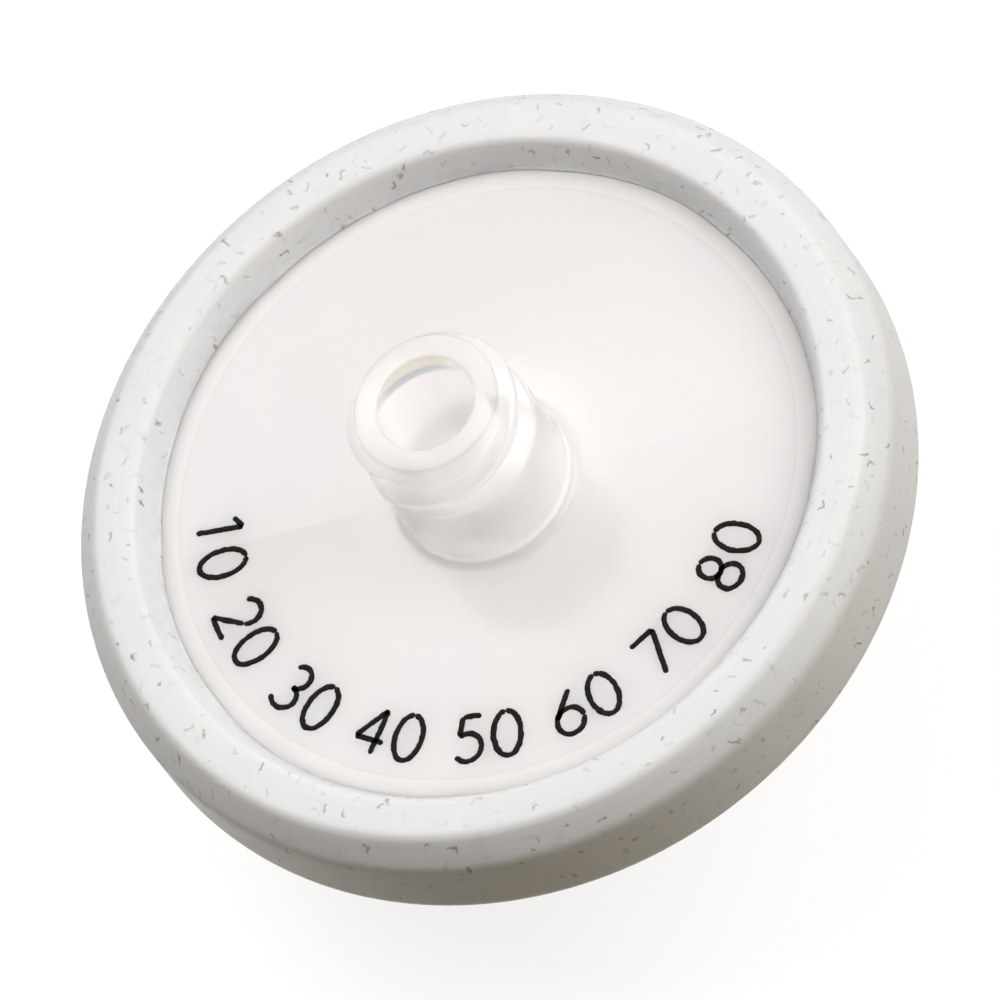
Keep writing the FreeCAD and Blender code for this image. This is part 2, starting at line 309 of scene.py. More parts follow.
def lug_marks(radius, level, angle):
    """Painted shade where a thread lug shows through the far side of the socket's wall, and its lower
    edge.

    The edge's level is LUG_LOW + LUG_RISE ((azimuth - LUG_MIDDLE) / LUG_SPAN)^2. The lug's shade
    lies above it, and both fade out along the wall.
    """
    on_wall = (radius < SOCKET_RADIUS + 0.01) & (level < -0.05) & (level > -SOCKET_SEEN)
    degrees = np.degrees(angle)
    above = level - (LUG_LOW + LUG_RISE * ((degrees - LUG_MIDDLE) / LUG_SPAN) ** 2)
    shade = smooth(-0.1, 0.15, above) * smooth(5.0, 35.0, degrees) * smooth(155.0, 120.0, degrees)
    edge = 1.0 - smooth(0.08, 0.4, np.abs(above))
    strength = smooth(10.0, 75.0, degrees) * smooth(166.0, 105.0, degrees)
    return {"lug_shade": on_wall * shade, "lug_edge_shade": on_wall * edge * strength}


def sector_tone(radius, level, angle):
    """Painted shade of the face: pale and darker sectors, 0 to 1, with steps where three ribs lie
    under it.

    With t the share of the way through a sector, its tone is sin(pi t) in the first, 0.2 + 0.5 t
    in the second and (1 + cos(2 pi t)) / 2 in the third. What comes out is 1 less that tone.
    """
    turn = np.mod(np.degrees(angle) - SECTOR_START, 360.0)
    past_first = turn - FIRST_SECTOR
    past_second = past_first - SECOND_SECTOR
    first = np.sin(math.pi * turn / FIRST_SECTOR)
    second = 0.2 + 0.5 * past_first / SECOND_SECTOR
    third = 0.5 + 0.5 * np.cos(2 * math.pi * past_second / THIRD_SECTOR)
    tone = np.where(past_first < 0, first, np.where(past_second < 0, second, third))
    on_face = np.abs(level - FACE) < 0.01
    return on_face * smooth(4.6, 6.5, radius) * smooth(CHAMBER_RADIUS, 12.6, radius) * (1.0 - tone)


def make_inlet(material, hub_material):
    """The upper half in one closed surface: hub with its thread, face, rim, web and ribs.

    On the barrel, radius = the larger of the outline's and the smaller of the thread's and of a
    45 degree cone from the mouth's rim. Under the web, level = outline level - rib height * gap,
    which takes the ribs down to the membrane. Faces wholly above HUB_FOOT take the hub's material.
    """
    floor_radius = SOCKET_RADIUS - SOCKET_DEPTH * SOCKET_SLOPE
    web_under = FACE - WEB_THICK
    outline = rounded_outline([
        (HUB_BARREL, 0.0, 0.07, 0.2),
        (SOCKET_RADIUS, 0.0, 0.1, 0.13),
        (SOCKET_RADIUS - SOCKET_SEEN * SOCKET_SLOPE, -SOCKET_SEEN, 0, 1.0),
        (floor_radius, -SOCKET_DEPTH, 0.15),
        (INLET_HOLE, -SOCKET_DEPTH, 0.1),
        (INLET_HOLE, web_under, 0),
        (CHAMBER_RADIUS, web_under, 0.1),
        (CHAMBER_RADIUS, PARTING, 0),
        (HOUSING_RADIUS, PARTING, 0),
        (HOUSING_RADIUS, FACE, 0),
        (HUB_BODY, FACE, 0.5),
        (HUB_BODY, HUB_SHOULDER, 0.1, 0.06),
        (HUB_BARREL, HUB_NECK, 0.1, 0.06),
    ], spacing=HOUSING_SPACING)
    angle, radius, level = turned_outline(outline, INLET_COLUMNS)
    on_barrel = (radius >= HUB_BARREL - 1e-6) & (level > HUB_SHOULDER - 0.4) & (level < -0.03)
    tooth = HUB_BARREL + (THREAD_RADIUS - HUB_BARREL) * thread_height(angle, level)
    trim = HUB_BARREL - 0.05 - level
    threaded = np.maximum(radius, np.minimum(tooth, trim))
    radius = np.where(on_barrel, threaded, radius)
    under_web = (np.abs(level - web_under) < 1e-6) & (radius < CHAMBER_RADIUS + 1e-6)
    rib = rib_height(angle, radius, INLET_RIBS, INLET_RIB_ANGLE, INLET_RIB_START, INLET_RIB_HALF)
    level = level - under_web * rib * (web_under - MEMBRANE_TOP - HAIR)
    radius, level = radius[::-1], level[::-1]
    # Masks of painted shade: the lugs seen through the socket's wall, and the face's sectors.
    marks = {**lug_marks(radius, level, angle), "painted_dark_sector": sector_tone(radius, level, angle)}
    inlet = closed_grid("inlet_moulding", radius, level, angle, marks)
    finish_piece(inlet, material, "inlet_housing")
    inlet.data.materials.append(hub_material)
    lowest = np.minimum(level, np.roll(level, -1, axis=0))
    in_hub = (lowest > HUB_FOOT).astype(np.int32)
    inlet.data.polygons.foreach_set("material_index", in_hub.ravel())
    return inlet


def make_outlet(material):
    """The lower half in one closed surface: rim with its lip, web, support ribs, boss and cone.

    On the web's top, level(row, azimuth) = outline level + rib height * the ribs' rise.
    """
    web_top = UNDERFACE + WEB_THICK
    rim_top = UNDERFACE + RIM_THICK
    boss_under = UNDERFACE - BOSS_LENGTH
    outline = rounded_outline([
        (NOZZLE_BORE, TIP, 0.08),
        (NOZZLE_TIP, TIP, 0.18),
        (NOZZLE_ROOT, boss_under, 0.12),
        (BOSS_RADIUS, boss_under, 0.35),
        (BOSS_RADIUS, UNDERFACE, 0.6),
        (HOUSING_RADIUS, UNDERFACE, 0),
        (HOUSING_RADIUS, PARTING - HAIR, 0),
        (LIP_RADIUS, PARTING - HAIR, 0),
        (LIP_RADIUS, rim_top, 0),
        (CHAMBER_RADIUS, rim_top, 0),
        (CHAMBER_RADIUS, web_top, 0),
        (NOZZLE_BORE, web_top, 0),
    ], spacing=HOUSING_SPACING)
    angle, radius, level = turned_outline(outline, OUTLET_COLUMNS)
    on_web = (np.abs(outline[:, 1] - web_top) < 1e-6) & (outline[:, 0] < CHAMBER_RADIUS + 1e-6)
    long_ribs = rib_height(angle, radius, SUPPORT_RIBS, 0.0, LONG_RIB_START, SUPPORT_RIB_HALF)
    short_ribs = rib_height(angle, radius, SUPPORT_RIBS, 180.0 / SUPPORT_RIBS,
                            SHORT_RIB_START, SUPPORT_RIB_HALF)
    rise = np.maximum(long_ribs, short_ribs) * (RIM_THICK - WEB_THICK)
    level = level + on_web[:, None] * rise
    outlet = closed_grid("outlet_moulding", radius[::-1], level[::-1], angle)
    return finish_piece(outlet, material, "outlet_housing")


# ---------------------------------------------------------------- print

# Row of figures round the face: radius of their feet, height, azimuth of its middle, ink.
PRINT_FEET = 12.7
PRINT_HEIGHT = 2.05
PRINT_CENTRE = 226.5
STROKE_HALF = 0.122
INK_THICK = 0.015


def line(x0, y0, x1, y1):
    """A straight stroke as points 0.02 of the height apart."""
    count = int(math.hypot(x1 - x0, y1 - y0) / 0.02) + 2
    share = np.linspace(0, 1, count)
    return np.stack([x0 + share * (x1 - x0), y0 + share * (y1 - y0)], axis=1)


def bow(cx, cy, rx, ry, start, end):
    """Part of an ellipse from one angle to another, in degrees."""
    count = int(abs(math.radians(end - start)) * max(rx, ry) / 0.02) + 2
    turn = np.radians(np.linspace(start, end, count))
    return np.stack([cx + rx * np.cos(turn), cy + ry * np.sin(turn)], axis=1)


# Strokes of each figure, in shares of its height.
FIGURES = {
    "0": [bow(0.31, 0.5, 0.29, 0.5, 90, 450)],
    "1": [line(0.12, 0.8, 0.36, 1.0), line(0.36, 1.0, 0.36, 0.0)],
    "2": [bow(0.3, 0.71, 0.27, 0.29, 165, -38), line(0.51, 0.53, 0.02, 0.0),
          line(0.02, 0.0, 0.6, 0.0)],
    "3": [bow(0.29, 0.75, 0.23, 0.25, 150, -90), bow(0.29, 0.26, 0.28, 0.26, 90, -150)],
    "4": [line(0.46, 0.0, 0.46, 1.0), line(0.46, 1.0, 0.0, 0.3), line(0.0, 0.3, 0.64, 0.3)],
    "5": [line(0.54, 1.0, 0.16, 1.0), line(0.16, 1.0, 0.1, 0.57),
          bow(0.29, 0.31, 0.29, 0.31, 130, -145)],
    "6": [bow(0.31, 0.3, 0.29, 0.3, 0, 360), line(0.47, 1.0, 0.05, 0.43)],
    "7": [line(0.02, 1.0, 0.6, 1.0), line(0.6, 1.0, 0.2, 0.0)],
    "8": [bow(0.31, 0.75, 0.22, 0.25, 90, 450), bow(0.31, 0.26, 0.28, 0.26, 90, 450)],
}
# Widths and gaps in the same shares.
FIGURE_WIDTH = 0.62
FIGURE_GAP = 0.26
WORD_GAP = 0.55
PRINTED = [str(number) for number in range(10, 90, 10)]


def stroke_mesh(path, draw):
    """A flat ink stroke: a thin band carried along a path, with round ends and a rough edge.

    The half width is w * sqrt(1 - (1 - s/w)^2) near each end and wanders by a few percent.
    """
    steps = np.linalg.norm(np.diff(path, axis=0), axis=1)
    along = np.concatenate([[0], np.cumsum(steps)])
    left = np.minimum(along, along[-1] - along)
    end_share = np.clip(left / STROKE_HALF, 0.03, 1.0)
    roundness = np.sqrt(1 - (1 - end_share) ** 2)
    tangent = np.gradient(path, axis=0)
    tangent /= np.linalg.norm(tangent, axis=1)[:, None]
    normal = np.stack([-tangent[:, 1], tangent[:, 0]], axis=1)
    edges = []
    for side in (1, -1):
        rough = np.convolve(draw.normal(0, 1, len(path) + 4), np.ones(5) / 5, mode="valid")
        breadth = STROKE_HALF * roundness * (1 + 0.16 * rough + 0.06 * draw.normal(0, 1, len(path)))
        edges.append(path + side * breadth[:, None] * normal)
    rings = np.stack([edges[0], edges[0], edges[1], edges[1]], axis=1)
    heights = np.tile([0.0, INK_THICK, INK_THICK, 0.0], (len(path), 1))
    return rings, heights


def make_print(material):
    """Plain numbers in a row round the face, read from inside the ring, feet outwards."""
    draw = np.random.default_rng(11)
    figures = sum(len(word) for word in PRINTED)
    total = figures * (FIGURE_WIDTH + FIGURE_GAP) - FIGURE_GAP + WORD_GAP * (len(PRINTED) - 1)
    place = -total / 2
    points, quads, count = [], [], 0
    for word in PRINTED:
        for figure in word:
            middle = place + FIGURE_WIDTH / 2
            angle = math.radians(PRINT_CENTRE) + middle * PRINT_HEIGHT / PRINT_FEET
            across = np.array([-math.sin(angle), math.cos(angle)])
            up = np.array([-math.cos(angle), -math.sin(angle)])
            foot = PRINT_FEET * np.array([math.cos(angle), math.sin(angle)])
            for stroke in FIGURES[figure]:
                path = (stroke - [FIGURE_WIDTH / 2, 0]) * PRINT_HEIGHT
                rings, heights = stroke_mesh(path, draw)
                flat = foot + rings[..., :1] * across + rings[..., 1:] * up
                solid = np.concatenate([flat, FACE + heights[..., None]], axis=-1)
                length = len(solid)
                index = count + np.arange(length * 4).reshape(length, 4)
                sides = [np.stack([index[:-1, k], index[1:, k], index[1:, (k + 1) % 4],
                                   index[:-1, (k + 1) % 4]], axis=1) for k in range(4)]
                quads += sides + [index[:1, :], index[-1:, ::-1]]
                points.append(solid.reshape(-1, 3))
                count += length * 4
            place += FIGURE_WIDTH + FIGURE_GAP
        place += WORD_GAP
    ink = surface_object("printed_numbers", np.concatenate(points) * MM, np.concatenate(quads))
    return finish_piece(ink, material)


# ---------------------------------------------------------------- materials

PLASTIC_IOR = 1.49
RING_WHITE = (0.855, 0.866, 0.884, 1)
RING_BRIGHT = (0.875, 0.88, 0.888, 1)
RING_STREAK = (0.78, 0.80, 0.83, 1)
# Painted shade at the ring's inner foot.
RING_FOOT_PAINTED_SHADE = (0.74, 0.715, 0.68, 1)
FAINT_FIBRE = (0.30, 0.28, 0.25, 1)
DARK_FIBRE = (0.16, 0.145, 0.11, 1)
FACE_WARM = (0.8, 0.782, 0.782, 1)
FACE_COOL = (0.788, 0.775, 0.782, 1)
# Painted shade round the hub's foot.
FACE_PAINTED_SHADE_ROUND_HUB = (0.72, 0.705, 0.705, 1)
# Painted light: the rim band is paler.
FACE_RIM_PAINTED_LIGHT = (0.89, 0.86, 0.85, 1)
FACE_SEAM = (0.6, 0.56, 0.54, 1)
# Painted shade of the face's darker sectors.
FACE_SECTOR_PAINTED_SHADE = (0.66, 0.63, 0.625, 1)
HUB_WARM = (0.84, 0.825, 0.825, 1)
HUB_COOL = (0.83, 0.82, 0.825, 1)
# Painted shade of the mouth's flat.
HUB_MOUTH_PAINTED_SHADE = (0.76, 0.75, 0.745, 1)
# Painted shade of a lug seen through the socket's wall, and of its darker lower edge.
LUG_PAINTED_SHADE = (0.72, 0.68, 0.63, 1)
LUG_EDGE_PAINTED_SHADE = (0.44, 0.47, 0.52, 1)
HUB_OPACITY = 0.75
SHADOW_SHARE = 0.15


def new_material(name):
    """A node material with its Principled shader, and the tree to add to."""
    material = bpy.data.materials.new(name)
    material.use_nodes = True
    tree = material.node_tree
    shader = next(node for node in tree.nodes if node.type == "BSDF_PRINCIPLED")
    return material, tree, shader


def feed(tree, socket, value):
    """Link a socket to a node's output, or set it to a plain value."""
    if isinstance(value, bpy.types.NodeSocket):
        tree.links.new(value, socket)
    elif value is not None:
        socket.default_value = value


def calc(tree, operation, first, second=None, third=None):
    """One Math node."""
    node = tree.nodes.new("ShaderNodeMath")
    node.operation = operation
    for socket, value in zip(node.inputs, (first, second, third)):
        feed(tree, socket, value)
    return node.outputs[0]


def vector(tree, operation, first, second=None, scale=None):
    """One Vector Math node. Dot products and lengths come out as a number."""
    node = tree.nodes.new("ShaderNodeVectorMath")
    node.operation = operation
    feed(tree, node.inputs[0], first)
    if second is not None:
        feed(tree, node.inputs[1], second)
    if scale is not None:
        feed(tree, node.inputs["Scale"], scale)
    return node.outputs["Value" if operation in ("DOT_PRODUCT", "LENGTH") else "Vector"]


def fade(tree, value, low, high, to_low=1.0, to_high=0.0):
    """A smooth change from to_low to to_high as value goes from low to high."""
    node = tree.nodes.new("ShaderNodeMapRange")
    node.interpolation_type = "SMOOTHSTEP"
    for socket, given in zip(node.inputs, (value, low, high, to_low, to_high)):
        feed(tree, socket, given)
    return node.outputs[0]


def mix_colour(tree, share, first, second):
    """First colour where share is 0, second where it is 1."""
    node = tree.nodes.new("ShaderNodeMix")
    node.data_type = "RGBA"
    feed(tree, node.inputs["Factor"], share)
    colours = [socket for socket in node.inputs if socket.type == "RGBA"]
    feed(tree, colours[0], first)
    feed(tree, colours[1], second)
    return next(socket for socket in node.outputs if socket.type == "RGBA")


def noise(tree, coordinates, scale, detail=2.0, roughness=0.5, output="Fac"):
    """A 3-D noise in 0 to 1, as a number or as a colour of three numbers."""
    node = tree.nodes.new("ShaderNodeTexNoise")
    feed(tree, node.inputs["Vector"], coordinates)
    node.inputs["Scale"].default_value = scale
    node.inputs["Detail"].default_value = detail
    node.inputs["Roughness"].default_value = roughness
    return node.outputs[output]


def object_mm(tree):
    """The piece's own coordinates in millimetres."""
    coordinates = tree.nodes.new("ShaderNodeTexCoord").outputs["Object"]
    return vector(tree, "SCALE", coordinates, scale=1 / MM)


def mark(tree, name):
    """A piece's own attribute, 0 on pieces that have none."""
    node = tree.nodes.new("ShaderNodeAttribute")
    node.attribute_name = name
    return node.outputs["Fac"]


def surface_normal(tree):
    """The smooth surface normal in the piece's own directions."""
    return tree.nodes.new("ShaderNodeTexCoord").outputs["Normal"]


def new_group(name, inputs, outputs):
    """An empty node group with its sockets: (name, kind) each."""
    group = bpy.data.node_groups.new(name, "ShaderNodeTree")
    for label, kind in inputs:
        group.interface.new_socket(label, in_out="INPUT", socket_type=kind)
    for label, kind in outputs:
        group.interface.new_socket(label, in_out="OUTPUT", socket_type=kind)
    entry = group.nodes.new("NodeGroupInput")
    leave = group.nodes.new("NodeGroupOutput")
    return group, entry, leave


def use_group(tree, group, **values):
    """A group node with its inputs set by name, underscores for spaces."""
    node = tree.nodes.new("ShaderNodeGroup")
    node.node_tree = group
    for label, value in values.items():
        feed(tree, node.inputs[label.replace("_", " ")], value)
    return node.outputs[0]


def fibre_group():
    """Short bent fibres lying in the skin of the plastic.

    Each Voronoi cell of the solid holds one fibre. In the plane of the surface, x runs along
    the fibre and y across it. Its distance is the length of (|x| past the half length,
    y - bend * x^2), and the fibre is where that is under the half width. Short fibres are broader.
    It fades with the depth of its cell's point.
    """
    number, direction = "NodeSocketFloat", "NodeSocketVector"
    group, entry, leave = new_group("bent_fibres", [
        ("Place", direction), ("Normal", direction), ("Spacing", number), ("Share", number),
        ("Half Length", number), ("Half Width", number), ("Softness", number),
        ("Bend", number), ("Depth", number)], [("Mask", number)])
    asked = entry.outputs
    cells = group.nodes.new("ShaderNodeTexVoronoi")
    cells.inputs["Randomness"].default_value = 0.9
    feed(group, cells.inputs["Vector"], asked["Place"])
    feed(group, cells.inputs["Scale"], calc(group, "DIVIDE", 1.0, asked["Spacing"]))
    centre = cells.outputs["Position"]
    chance = group.nodes.new("ShaderNodeTexWhiteNoise")
    feed(group, chance.inputs["Vector"], centre)
    split = group.nodes.new("ShaderNodeSeparateColor")
    feed(group, split.inputs[0], chance.outputs["Color"])
    random_a, random_b, random_c = split.outputs
    local = vector(group, "SUBTRACT", asked["Place"], centre)
    normal = asked["Normal"]
    aim = vector(group, "SUBTRACT", cells.outputs["Color"], (0.5, 0.5, 0.5))
    leaning = vector(group, "SCALE", normal, scale=vector(group, "DOT_PRODUCT", aim, normal))
    along = vector(group, "NORMALIZE", vector(group, "SUBTRACT", aim, leaning))
    across = vector(group, "CROSS_PRODUCT", normal, along)
    x = vector(group, "DOT_PRODUCT", local, along)
    y = vector(group, "DOT_PRODUCT", local, across)
    depth = calc(group, "ABSOLUTE", vector(group, "DOT_PRODUCT", local, normal))
    bend = calc(group, "MULTIPLY", calc(group, "SUBTRACT", random_a, 0.5), asked["Bend"])
    bowed = calc(group, "MULTIPLY", bend, calc(group, "MULTIPLY", x, x))
    off_line = calc(group, "ABSOLUTE", calc(group, "SUBTRACT", y, bowed))
    length = calc(group, "MULTIPLY", asked["Half Length"],
                  calc(group, "MULTIPLY_ADD", random_b, 0.9, 0.1))
    breadth = calc(group, "MULTIPLY", asked["Half Width"],
                   calc(group, "MULTIPLY_ADD", random_b, -0.35, 1.3))
    beyond = calc(group, "MAXIMUM", calc(group, "SUBTRACT", calc(group, "ABSOLUTE", x), length), 0.0)
    apart = calc(group, "SQRT", calc(group, "ADD", calc(group, "MULTIPLY", beyond, beyond),
                                     calc(group, "MULTIPLY", off_line, off_line)))
    soft = asked["Softness"]
    mask = fade(group, apart, calc(group, "SUBTRACT", breadth, soft),
                calc(group, "ADD", breadth, soft))
    near = fade(group, depth, calc(group, "MULTIPLY", asked["Depth"], 0.6), asked["Depth"])
    present = calc(group, "LESS_THAN", random_c, asked["Share"])
    luck = chance.outputs["Value"]
    strength = calc(group, "MULTIPLY_ADD", calc(group, "MULTIPLY", luck, luck), 0.8, 0.2)
    for factor in (near, present, strength):
        mask = calc(group, "MULTIPLY", mask, factor)
    feed(group, leave.inputs["Mask"], mask)
    return group


def ring_plastic(fibres):
    """White moulded plastic with dark bent fibres at its surface and paler ones beneath.

    Faint streaks run round it, and its inner foot is painted a little beige and darker, a painted
    shade where the ring meets the face.
    """
    material, tree, shader = new_material("flecked_white_plastic")
    place, normal = object_mm(tree), surface_normal(tree)
    wobble = vector(tree, "SUBTRACT", noise(tree, place, 2.6, 1.0, output="Color"), (0.5, 0.5, 0.5))
    bent = vector(tree, "ADD", place, vector(tree, "SCALE", wobble, scale=0.5))
    sharp = use_group(tree, fibres, Place=bent, Normal=normal, Spacing=0.95, Share=0.72,
                      Half_Length=0.2, Half_Width=0.045, Softness=0.06, Bend=5.0, Depth=0.5)
    moved = vector(tree, "ADD", bent, (31.7, 12.9, 7.3))
    faint = use_group(tree, fibres, Place=moved, Normal=normal, Spacing=1.0, Share=0.8,
                      Half_Length=0.3, Half_Width=0.06, Softness=0.09, Bend=5.0, Depth=0.5)
    cloud = noise(tree, place, 0.35, 3.0)
    white = mix_colour(tree, fade(tree, cloud, 0.35, 0.65, 0.0, 1.0),
                       RING_WHITE, RING_BRIGHT)
    across = vector(tree, "LENGTH", vector(tree, "MULTIPLY", place, (1, 1, 0)))
    around = vector(tree, "NORMALIZE", vector(tree, "MULTIPLY", place, (1, 1, 0)))
    turned = vector(tree, "ADD", vector(tree, "SCALE", around, scale=3.0),
                    vector(tree, "SCALE", (0, 0, 1), scale=calc(tree, "MULTIPLY", across, 7.0)))
    streak = fade(tree, noise(tree, turned, 1.0, 2.0), 0.45, 0.75, 0.0, 1.0)
    white = mix_colour(tree, calc(tree, "MULTIPLY", streak, 0.3), white, RING_STREAK)
    # Painted shade: a darker beige at the ring's inner foot, where it meets the face, broken by
    # noise.
    foot = calc(tree, "MULTIPLY", fade(tree, across, FOOT_RADIUS - 0.1, FOOT_RADIUS + 0.4),
                fade(tree, noise(tree, place, 1.3, 3.0, 0.7), 0.3, 0.7, 0.1, 0.6))
    white = mix_colour(tree, foot, white, RING_FOOT_PAINTED_SHADE)
    under = mix_colour(tree, calc(tree, "MULTIPLY", faint, 0.16), white, FAINT_FIBRE)
    colour = mix_colour(tree, calc(tree, "MULTIPLY", sharp, 0.85), under, DARK_FIBRE)
    feed(tree, shader.inputs["Base Color"], colour)
    fine = noise(tree, place, 2.2, 3.0)
    feed(tree, shader.inputs["Roughness"], fade(tree, fine, 0.3, 0.7, 0.3, 0.4))
    bump = tree.nodes.new("ShaderNodeBump")
    bump.inputs["Strength"].default_value = 0.08
    bump.inputs["Distance"].default_value = 0.05 * MM
    relief = calc(tree, "SUBTRACT", noise(tree, place, 1.1, 2.0), calc(tree, "MULTIPLY", sharp, 0.5))
    feed(tree, bump.inputs["Height"], relief)
    feed(tree, shader.inputs["Normal"], bump.outputs[0])
    shader.inputs["IOR"].default_value = PLASTIC_IOR
    shader.inputs["Specular IOR Level"].default_value = 0.25
    shader.subsurface_method = "BURLEY"
    shader.inputs["Subsurface Weight"].default_value = 0.5
    shader.inputs["Subsurface Radius"].default_value = (1.0, 0.8, 0.6)
    shader.inputs["Subsurface Scale"].default_value = 1.5 * MM
    return material


def milky_base(name):
    """A new milky plastic, with its place in millimetres and a soft cloudy mask from 0 to 1."""
    material, tree, shader = new_material(name)
    place = object_mm(tree)
    cloud = fade(tree, noise(tree, place, 0.16, 2.0), 0.35, 0.65, 0.0, 1.0)
    smear = noise(tree, place, 1.3, 3.0)
    feed(tree, shader.inputs["Roughness"], fade(tree, smear, 0.3, 0.7, 0.16, 0.24))
    shader.subsurface_method = "BURLEY"
    shader.inputs["Subsurface Weight"].default_value = 1.0
    shader.inputs["Subsurface Radius"].default_value = (1.0, 0.98, 0.97)
    shader.inputs["IOR"].default_value = PLASTIC_IOR
    return material, tree, shader, place, cloud


def milky_plastic():
    """Natural milky plastic of all but the inlet's hub: light goes deep into it.

    It is painted a little greyer round the axis, a painted shade round the hub's foot. The chamber's
    edge shows as a faint ragged line, and the rim band beyond it is painted paler, a painted light.
    Pale and darker sectors of painted light and shade lie on the face, with steps over three of the
    ribs.
    """
    material, tree, shader, place, cloud = milky_base("milky_housing_plastic")
    colour = mix_colour(tree, cloud, FACE_WARM, FACE_COOL)
    across = vector(tree, "LENGTH", vector(tree, "MULTIPLY", place, (1, 1, 0)))
    # Painted shade: the face is darker round the hub's foot.
    foot = fade(tree, across, HUB_CLEAR, HUB_CLEAR + 3.5, 0.5, 0.0)
    colour = mix_colour(tree, foot, colour, FACE_PAINTED_SHADE_ROUND_HUB)
    ragged = calc(tree, "MULTIPLY_ADD", noise(tree, place, 3.5, 2.0, 0.7), 0.2, -0.1)
    past_seam = calc(tree, "SUBTRACT", calc(tree, "ADD", across, ragged), CHAMBER_RADIUS)
    # Painted light: the rim band beyond the chamber's edge is paler.
    rim = fade(tree, past_seam, -0.1, 0.1, 0.0, 0.5)
    seam = fade(tree, calc(tree, "ABSOLUTE", past_seam), 0.0, 0.09, 0.2, 0.0)
    colour = mix_colour(tree, rim, colour, FACE_RIM_PAINTED_LIGHT)
    colour = mix_colour(tree, seam, colour, FACE_SEAM)
    # Painted light and shade: pale and darker sectors of the face.
    sector = calc(tree, "MULTIPLY", mark(tree, "painted_dark_sector"), 0.3)
    colour = mix_colour(tree, sector, colour, FACE_SECTOR_PAINTED_SHADE)
    feed(tree, shader.inputs["Base Color"], colour)
    shader.inputs["Subsurface Scale"].default_value = 4.0 * MM
    return material


def clearer_plastic():
    """The same plastic on the hub's thin walls, which let the light through.

    To a lamp's light each skin of a wall is only SHADOW_SHARE as opaque as to the eye, so the
    hub hardly shades the face.
    A thread lug shows through the socket's wall as a painted shade: a beige band with a grey lower
    edge. The mouth's flat is painted a little greyer than the walls, a painted shade.
    """
    material, tree, shader, place, cloud = milky_base("milky_hub_plastic")
    height = vector(tree, "DOT_PRODUCT", place, (0, 0, 1))
    lug_shade, lug_edge_shade = mark(tree, "lug_shade"), mark(tree, "lug_edge_shade")
    colour = mix_colour(tree, cloud, HUB_WARM, HUB_COOL)
    # Painted shade: the mouth's flat is greyer.
    mouth = fade(tree, height, -0.2, -0.05, 0.0, 1.0)
    colour = mix_colour(tree, mouth, colour, HUB_MOUTH_PAINTED_SHADE)
    # Painted shade where a thread lug shows through the wall, with a darker grey lower edge.
    colour = mix_colour(tree, lug_shade, colour, LUG_PAINTED_SHADE)
    colour = mix_colour(tree, lug_edge_shade, colour, LUG_EDGE_PAINTED_SHADE)
    feed(tree, shader.inputs["Base Color"], colour)
    solid = fade(tree, height, HUB_FOOT, HUB_FOOT + 0.7, 1.0, HUB_OPACITY)
    solid = calc(tree, "MAXIMUM", solid, calc(tree, "MAXIMUM", lug_shade, lug_edge_shade))
    shadow_ray = tree.nodes.new("ShaderNodeLightPath").outputs["Is Shadow Ray"]
    thinned = calc(tree, "MULTIPLY_ADD", shadow_ray, SHADOW_SHARE - 1.0, 1.0)
    feed(tree, shader.inputs["Alpha"], calc(tree, "MULTIPLY", solid, thinned))
    shader.inputs["Subsurface Scale"].default_value = 6.0 * MM
    return material


def filter_paper():
    """Matt white membrane with a fine fibrous grain."""
    material, tree, shader = new_material("membrane_white")
    place = object_mm(tree)
    grain = noise(tree, place, 9.0, 4.0, 0.6)
    colour = mix_colour(tree, fade(tree, grain, 0.3, 0.7, 0.0, 1.0),
                        (0.86, 0.86, 0.85, 1), (0.9, 0.9, 0.895, 1))
    feed(tree, shader.inputs["Base Color"], colour)
    bump = tree.nodes.new("ShaderNodeBump")
    bump.inputs["Strength"].default_value = 0.3
    bump.inputs["Distance"].default_value = 0.02 * MM
    feed(tree, bump.inputs["Height"], grain)
    feed(tree, shader.inputs["Normal"], bump.outputs[0])
    shader.inputs["Roughness"].default_value = 0.85
    return material


def printing_ink():
    """Black pad-printing ink, slightly uneven."""
    material, tree, shader = new_material("black_ink")
    place = object_mm(tree)
    patch = noise(tree, place, 6.0, 3.0)
    colour = mix_colour(tree, fade(tree, patch, 0.55, 0.8, 0.0, 1.0),
                        (0.006, 0.005, 0.004, 1), (0.03, 0.024, 0.02, 1))
    feed(tree, shader.inputs["Base Color"], colour)
    feed(tree, shader.inputs["Roughness"], fade(tree, patch, 0.3, 0.7, 0.5, 0.7))
    shader.inputs["Specular IOR Level"].default_value = 0.1
    return material


def seen_directly(tree):
    """1 for a ray from the camera, a gloss or a clear surface, 0 for light on its way."""
    path = tree.nodes.new("ShaderNodeLightPath")
    seen = calc(tree, "MAXIMUM", path.outputs["Is Camera Ray"], path.outputs["Is Glossy Ray"])
    return calc(tree, "MAXIMUM", seen, path.outputs["Is Transmission Ray"])


def floor_paint():
    """Pale floor: white where the camera, glossy and clear surfaces see it, dimmer as a reflector."""
    material, tree, shader = new_material("pale_floor")
    shader.inputs["Base Color"].default_value = (0.2, 0.165, 0.1, 1)
    shader.inputs["Roughness"].default_value = 0.9
    seen = tree.nodes.new("ShaderNodeBsdfPrincipled")
    seen.inputs["Base Color"].default_value = (0.4, 0.4, 0.4, 1)
    seen.inputs["Roughness"].default_value = 1.0
    seen.inputs["Emission Color"].default_value = (1, 1, 1, 1)
    seen.inputs["Emission Strength"].default_value = 0.8
    blend = tree.nodes.new("ShaderNodeMixShader")
    feed(tree, blend.inputs[0], seen_directly(tree))
    feed(tree, blend.inputs[1], shader.outputs[0])
    feed(tree, blend.inputs[2], seen.outputs[0])
    out = next(node for node in tree.nodes if node.type == "OUTPUT_MATERIAL")
    feed(tree, out.inputs["Surface"], blend.outputs[0])
    return material


# ---------------------------------------------------------------- stage

FLOOR_SIZE = 4000.0


